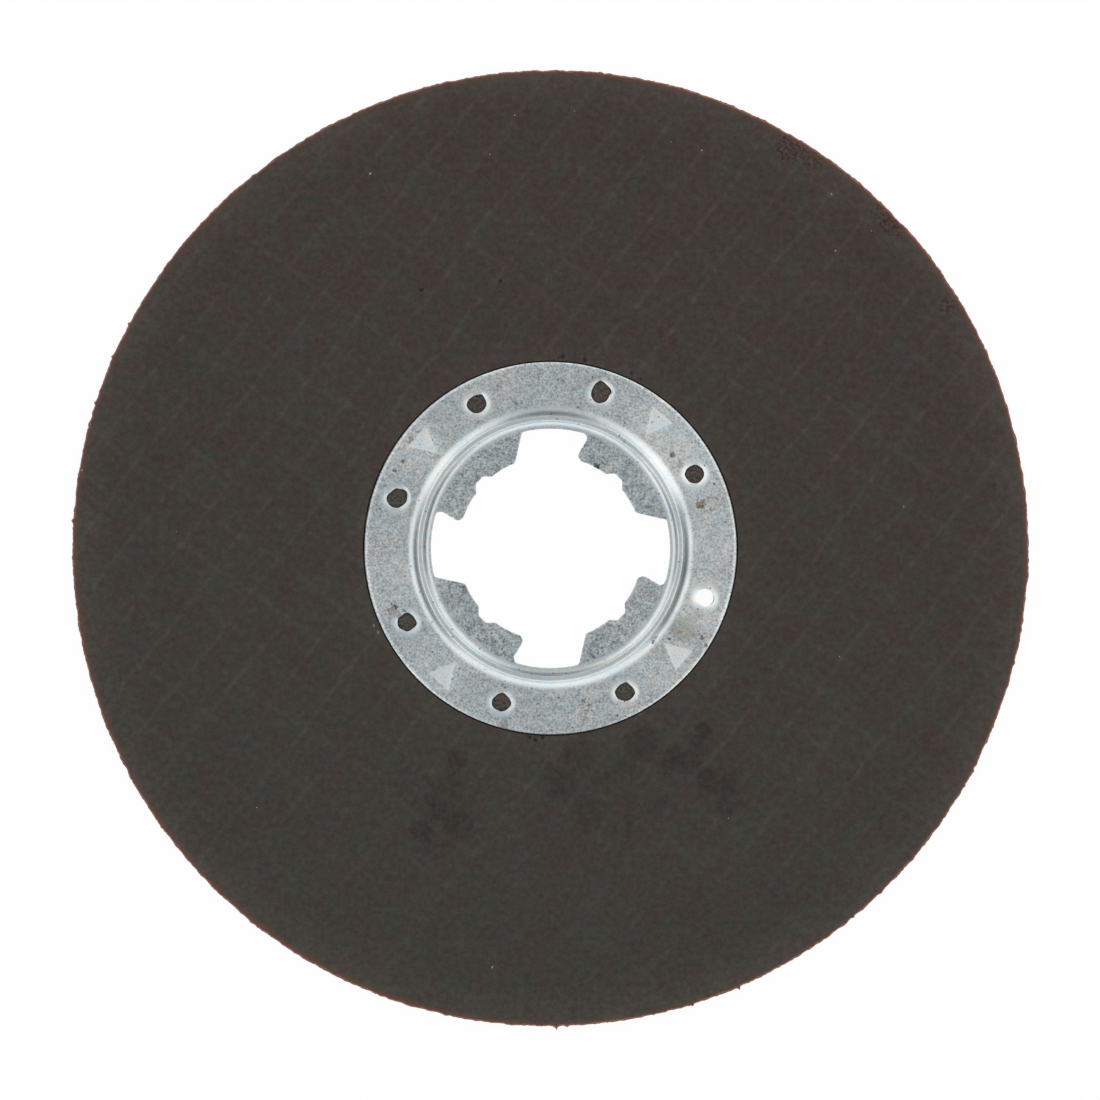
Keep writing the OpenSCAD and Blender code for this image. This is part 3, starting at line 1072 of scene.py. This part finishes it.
def rim_material():
    """The cut rim: open brown grain in dark resin, paler along its top."""
    coat = Coat("open_grain")
    pick, distance = coat.cells(RIM_CELL)
    tall = coat.grain(RIM_NOISE)
    colour = coat.mix(pick, GRAIN_DARK, GRAIN_RED)
    colour = coat.mix(coat.stretch(tall, *RIM_SPAN), colour, EDGE_BROWN)
    height = coat.parts(coat.place)[2]
    colour = coat.mix(coat.stretch(height, *RIM_TOP), colour, EDGE_PALE)
    return coat.finished({
        "Base Color": coat.overlaid(colour, coat.dots(*RIM_GLINTS), RIM_GLINT_SHOW, GRAIN_PALE),
        "Roughness": coat.stretch(tall, *RIM_DULL),
        "Specular IOR Level": RIM_GLOSS,
        "Normal": coat.bump(coat.scaled(distance, -1.0, tall), *RIM_BUMP),
    })


# Materials of the zinc

# Kinds of zinc: name, strength of the speckle, lightness and roughness; the holes' lighter zinc is a painted
# highlight
ZINC_KINDS = (
    ("zinc_plate", 1.65, 0.59, 0.36), ("zinc_coined", 0.7, 0.79, 0.44), ("zinc_hole_highlight", 0.7, 0.71, 0.34),
)

# Noises, where the tabs and the bends lie, and what differs there
FINE_NOISE = (0.27, 2.0, 0.75)
TONE_NOISE = (0.9, 3.0, 0.6)
BROAD_NOISE = (7.0, 1.0, 0.5)
HUE_NOISE = (1.3, 4.0, 0.62)
TAB_SPAN = (14.6, 14.2)
BEND_START, BEND_END = (14.2, 14.7), (17.5, 16.6)
TAB_SPECKLE, TAB_SHADE = 0.25, -0.09
BEND_SPECKLE, BEND_SHADE = 0.45, 0.14

# The speckle and the changes of tone and hue
SPECKLE_TONE, SPECKLE_MIDDLE, SPECKLE_SKEW = 0.35, 0.675, 0.8
BROAD_SHADE = (0.35, 0.65, -0.03, 0.03)
BROAD_WARMTH = (0.3, 0.7, -0.12, 0.12)
HUE_SPAN = (0.2, 0.8)
PATCH_SWING, PATCH_SHOW, PATCH_WARMTH = 0.8, 0.26, 0.12

# The stains, pits and glints, and the finish
STAIN_RAGGED = 2.6
OLIVE_SWING, OLIVE_SHOW = 3.0, 0.32
RUST_SHOW = 0.75
SPECK_SHOW = 0.85
PITS, PIT_SHOW, PIT_RELIEF = (0.8, 0.14, 0.4), 0.85, -0.5
GLINTS, GLINT_SHOW = (1.1, 0.14, 0.6), 0.45
SPECKLE_DULL, STAIN_DULL = 0.06, 0.25
ZINC_BUMP = (0.3, 0.01)

# Stains, paler patches and dark specks: x, y, radius and strength
RUST_STAINS = (
    (12.15, -10.75, 0.24, 1), (12.65, -10.7, 0.2, 0.8), (12.35, -11.2, 0.22, 0.9), (18.1, 5.2, 0.5, 1),
    (15.6, 10.1, 0.4, 0.6), (-16.85, 13.1, 0.33, 0.7), (-18.9, -7.6, 0.6, 0.7), (-18.2, -8.1, 0.35, 0.7),
    (-5.6, -21.2, 0.6, 0.6), (4.2, -18.6, 0.5, 0.4), (15.45, -10.05, 0.3, 0.6), (14.6, 12, 0.3, 0.5),
    (-17.5, 10.5, 0.2, 0.5), (-16.62, 13.55, 0.25, 0.5), (19.3, 4.6, 0.3, 0.8), (18.9, 6.1, 0.25, 0.6),
    (4.3, -19.6, 0.3, 0.6),
)
OLIVE_STAINS = (
    (16.2, -9.6, 1.3, 1), (17.6, -8.2, 0.7, 0.6), (13.1, -12.5, 0.7, 0.7), (5.1, 20.2, 1, 0.4),
    (19.9, -5.4, 0.9, 0.4),
)
PALE_PATCHES = (
    (16, 10.5, 4.4, 0.95), (13, 14.6, 3.2, 0.7), (19.2, 1, 3.4, 0.6), (18.2, -6.5, 3.2, 0.85),
    (13.5, -13.5, 3.4, 0.55), (-15.5, 11, 3.2, 0.35), (-19.2, -4.5, 3.2, 0.35), (-13, -14, 3.6, 0.4),
)
DARK_SPECKS = (
    (8.86, 13.04, 0.24, 0.9), (5.62, 9.95, 0.34, 1), (14.72, 11.19, 0.3, 0.9), (19.65, 7.79, 0.18, 0.9),
    (-18.74, 9.35, 0.24, 0.8), (-17.81, 10.43, 0.22, 0.8), (-18.58, -7.06, 0.24, 0.9),
    (-17.68, -7.5, 0.17, 0.8), (14.26, -10.91, 0.2, 0.9), (18.27, -10.75, 0.26, 0.9),
    (18.66, -11.7, 0.2, 0.8), (17.8, -10, 0.17, 0.7), (3.92, -18.3, 0.2, 0.7), (4.6, -18.8, 0.15, 0.7),
    (12.26, 15.15, 0.16, 0.5),
)


def zinc_speckle(coat, fine, tone, calm):
    """The fine speckle, with longer dark tails than light ones."""
    grain = coat.maths("SUBTRACT", coat.scaled(tone, SPECKLE_TONE, fine), SPECKLE_MIDDLE)
    return coat.times(coat.scaled(coat.times(grain, grain), -SPECKLE_SKEW, grain), calm)


def zinc_base(coat, level, patches, broad, hue):
    """The zinc's grey at a level, with cooler and warmer patches."""
    colour = coat.mix(level, ZINC_DARK, ZINC_LIGHT)
    warm = coat.scaled(patches, PATCH_WARMTH, coat.stretch(hue, *HUE_SPAN))
    warm = coat.plus(warm, coat.stretch(broad, *BROAD_WARMTH))
    return coat.mix(1.0, colour, coat.mix(warm, COOL_TINT, WARM_TINT), "MULTIPLY")


def zinc_material(name, speckle, shade, rough):
    """Zinc-plated steel: a grey speckle, calmer on the bends, with pits and stains."""
    coat = Coat(name)
    x, y, _ = coat.parts(coat.place)
    radius = coat.length(coat.joined(x, y))
    fine, tone, broad, hue = (coat.grain(n) for n in (FINE_NOISE, TONE_NOISE, BROAD_NOISE, HUE_NOISE))
    bends = coat.times(coat.stretch(radius, *BEND_START), coat.stretch(radius, *BEND_END))
    tabs = coat.stretch(radius, *TAB_SPAN)
    calm = coat.blend(bends, coat.scaled(tabs, TAB_SPECKLE * speckle, speckle), BEND_SPECKLE)
    grain = zinc_speckle(coat, fine, tone, calm)

    # Lightness
    level = coat.plus(grain, coat.scaled(tabs, TAB_SHADE, shade))
    level = coat.plus(level, coat.stretch(broad, *BROAD_SHADE))
    level = coat.scaled(bends, BEND_SHADE, level)
    patches = coat.spots(PALE_PATCHES, coat.swing(tone, PATCH_SWING))
    level = coat.scaled(patches, PATCH_SHOW, level)

    # Stains, pits and glints
    ragged = coat.swing(fine, STAIN_RAGGED)
    olive = coat.spots(OLIVE_STAINS, coat.swing(hue, OLIVE_SWING))
    rust = coat.spots(RUST_STAINS, ragged)
    specks = coat.spots(DARK_SPECKS, ragged)
    pits = coat.dots(*PITS)
    colour = zinc_base(coat, level, patches, broad, hue)
    colour = coat.overlaid(colour, olive, OLIVE_SHOW, STAIN_OLIVE)
    colour = coat.overlaid(colour, rust, RUST_SHOW, RUST_BROWN)
    colour = coat.overlaid(colour, specks, SPECK_SHOW, PIT_BROWN)
    colour = coat.overlaid(colour, pits, PIT_SHOW, PIT_BROWN)

    dull = coat.scaled(grain, SPECKLE_DULL, rough)
    return coat.finished({
        "Base Color": coat.overlaid(colour, coat.dots(*GLINTS), GLINT_SHOW, ZINC_LIGHT),
        "Metallic": 1.0,
        "Roughness": coat.scaled(coat.maths("MAXIMUM", rust, specks), STAIN_DULL, dull),
        "Normal": coat.bump(coat.scaled(pits, PIT_RELIEF, grain), *ZINC_BUMP),
    })


# Stage: camera, floor and light

# The floor, and how far it shows plain white
FLOOR_HALF = 3.0
FLOOR_Z = -0.02 * MM
FLOOR_SHOWN = 0.96

# Levels of the studio dome
ZENITH_LEVEL = 0.42
AROUND_LEVEL = 1.15
HORIZON_DIM = 0.02
HORIZON_BRIGHT = 1.2

# Shape of the dome: its bright ends, the gap in front, the dim zenith and the horizon's band
ENDS_TILT, ENDS_SPAN = -0.4, (0.28, 0.55)
FRONT_SPAN, FRONT_GAP = (-0.90, -0.98), 0.85
ZENITH_RIGHT, ZENITH_SIDES, ZENITH_ENDS = 0.08, -0.6, 0.25
ZENITH_SPAN = (0.95, 0.80)
BAND_RIGHT, BAND_SIDES = 0.1, -0.2
BAND_SPAN = (0.66, 0.36)

# The key lamp, in metres and watts
KEY_PLACE = (0.2, 0.8, 1.2)
KEY_SIZE = 0.9
KEY_POWER = 2.0


def add_camera():
    """A long lens straight above the wheel, with the top of the photograph towards +Y."""
    px_per_mm = RIM_RADIUS_PX / DISC_R
    half_view = PHOTO_PX / 2 / px_per_mm
    data = bpy.data.cameras.new("camera")
    data.sensor_width = SENSOR_WIDTH
    data.lens = SENSOR_WIDTH / 2 * CAMERA_DISTANCE / half_view
    data.clip_start = CLIP_NEAR
    data.clip_end = CLIP_FAR
    made = placed("camera", data)
    left, down = -WHEEL_RIGHT_PX / px_per_mm, -WHEEL_UP_PX / px_per_mm
    made.location = Vector((left, down, DISC_T + CAMERA_DISTANCE)) * MM
    bpy.context.scene.camera = made


def shown_directly(graph):
    """1 for rays that show the background."""
    path = graph.node("ShaderNodeLightPath").outputs
    seen = graph.maths("MAXIMUM", path["Is Camera Ray"], path["Is Glossy Ray"])
    return graph.maths("MAXIMUM", seen, path["Is Transmission Ray"])


def floor_material():
    """White that takes a light shadow of the wheel."""
    material = bpy.data.materials.new("floor_white")
    graph = Graph(material)
    lit = graph.node("ShaderNodeBsdfDiffuse", {"Color": FLOOR_WHITE})
    plain = graph.node("ShaderNodeEmission", {"Color": WHITE, "Strength": 1.0})
    share = graph.times(shown_directly(graph), FLOOR_SHOWN)
    both = graph.node("ShaderNodeMixShader", {0: share, 1: lit.outputs[0], 2: plain.outputs[0]})
    graph.node("ShaderNodeOutputMaterial", {"Surface": both.outputs[0]})
    return material


def add_floor():
    """A plain white floor."""
    mesh = bpy.data.meshes.new("floor")
    corners = ((-1, -1), (1, -1), (1, 1), (-1, 1))
    mesh.from_pydata([(x * FLOOR_HALF, y * FLOOR_HALF, FLOOR_Z) for x, y in corners], [], [(0, 1, 2, 3)])
    mesh.materials.append(floor_material())
    placed("floor", mesh)


def horizon_level(graph, turn, front):
    """The dome's level low down: bright at the photograph's top and bottom, dim at the sides."""
    ends = graph.scaled(turn, ENDS_TILT, graph.maths("ABSOLUTE", turn))
    ends = graph.times(graph.stretch(ends, *ENDS_SPAN), graph.maths("SUBTRACT", 1.0, front))
    return graph.stretch(ends, 0.0, 1.0, HORIZON_DIM, HORIZON_BRIGHT)


def upper_level(graph, x, y, up, front):
    """The dome's level higher up: dim at the zenith and bright around it."""
    lean = graph.scaled(x, ZENITH_RIGHT, up)
    lean = graph.scaled(graph.maths("POWER", x, 2.0), ZENITH_SIDES, lean)
    lean = graph.scaled(graph.maths("POWER", y, 2.0), ZENITH_ENDS, lean)
    around = graph.times(graph.stretch(lean, *ZENITH_SPAN), graph.scaled(front, -FRONT_GAP, 1.0))
    return graph.stretch(around, 0.0, 1.0, ZENITH_LEVEL, AROUND_LEVEL)


def add_world():
    """A soft studio dome, in front of which the camera sees plain white."""
    world = bpy.data.worlds.new("studio")
    bpy.context.scene.world = world
    graph = Graph(world)
    x, y, up = graph.parts(graph.node("ShaderNodeTexCoord").outputs["Generated"])
    turn = graph.maths("DIVIDE", y, graph.length(graph.joined(x, y)))
    front = graph.stretch(turn, *FRONT_SPAN)
    low = graph.scaled(graph.maths("POWER", x, 2.0), BAND_SIDES, up)
    low = graph.stretch(graph.scaled(x, BAND_RIGHT, low), *BAND_SPAN)
    level = graph.blend(low, upper_level(graph, x, y, up, front), horizon_level(graph, turn, front))
    dome = graph.node("ShaderNodeBackground", {"Color": WHITE, "Strength": level})
    backdrop = graph.node("ShaderNodeBackground", {"Color": WHITE, "Strength": 1.0})
    camera_ray = graph.node("ShaderNodeLightPath").outputs["Is Camera Ray"]
    both = graph.node("ShaderNodeMixShader", {0: camera_ray, 1: dome.outputs[0], 2: backdrop.outputs[0]})
    graph.node("ShaderNodeOutputWorld", {"Surface": both.outputs[0]})


def add_key():
    """A square soft lamp, aimed at the wheel and kept out of its reflections."""
    data = bpy.data.lights.new("key", "AREA")
    data.shape = "SQUARE"
    data.size = KEY_SIZE
    data.energy = KEY_POWER
    made = placed("key", data)
    made.location = KEY_PLACE
    made.rotation_euler = (-Vector(KEY_PLACE)).to_track_quat("-Z", "Y").to_euler()
    made.visible_glossy = False


add_camera()
bpy.context.scene.view_settings.view_transform = "Standard"
add_floor()
add_world()
add_key()

disc = disc_mesh([face_material(), rim_material(), plug_material(), fleck_material()])
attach(disc, "root")
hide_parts("abrasive_disc")

flange = flange_mesh([zinc_material(*kind) for kind in ZINC_KINDS])
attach(flange, "root")
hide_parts("steel_flange")
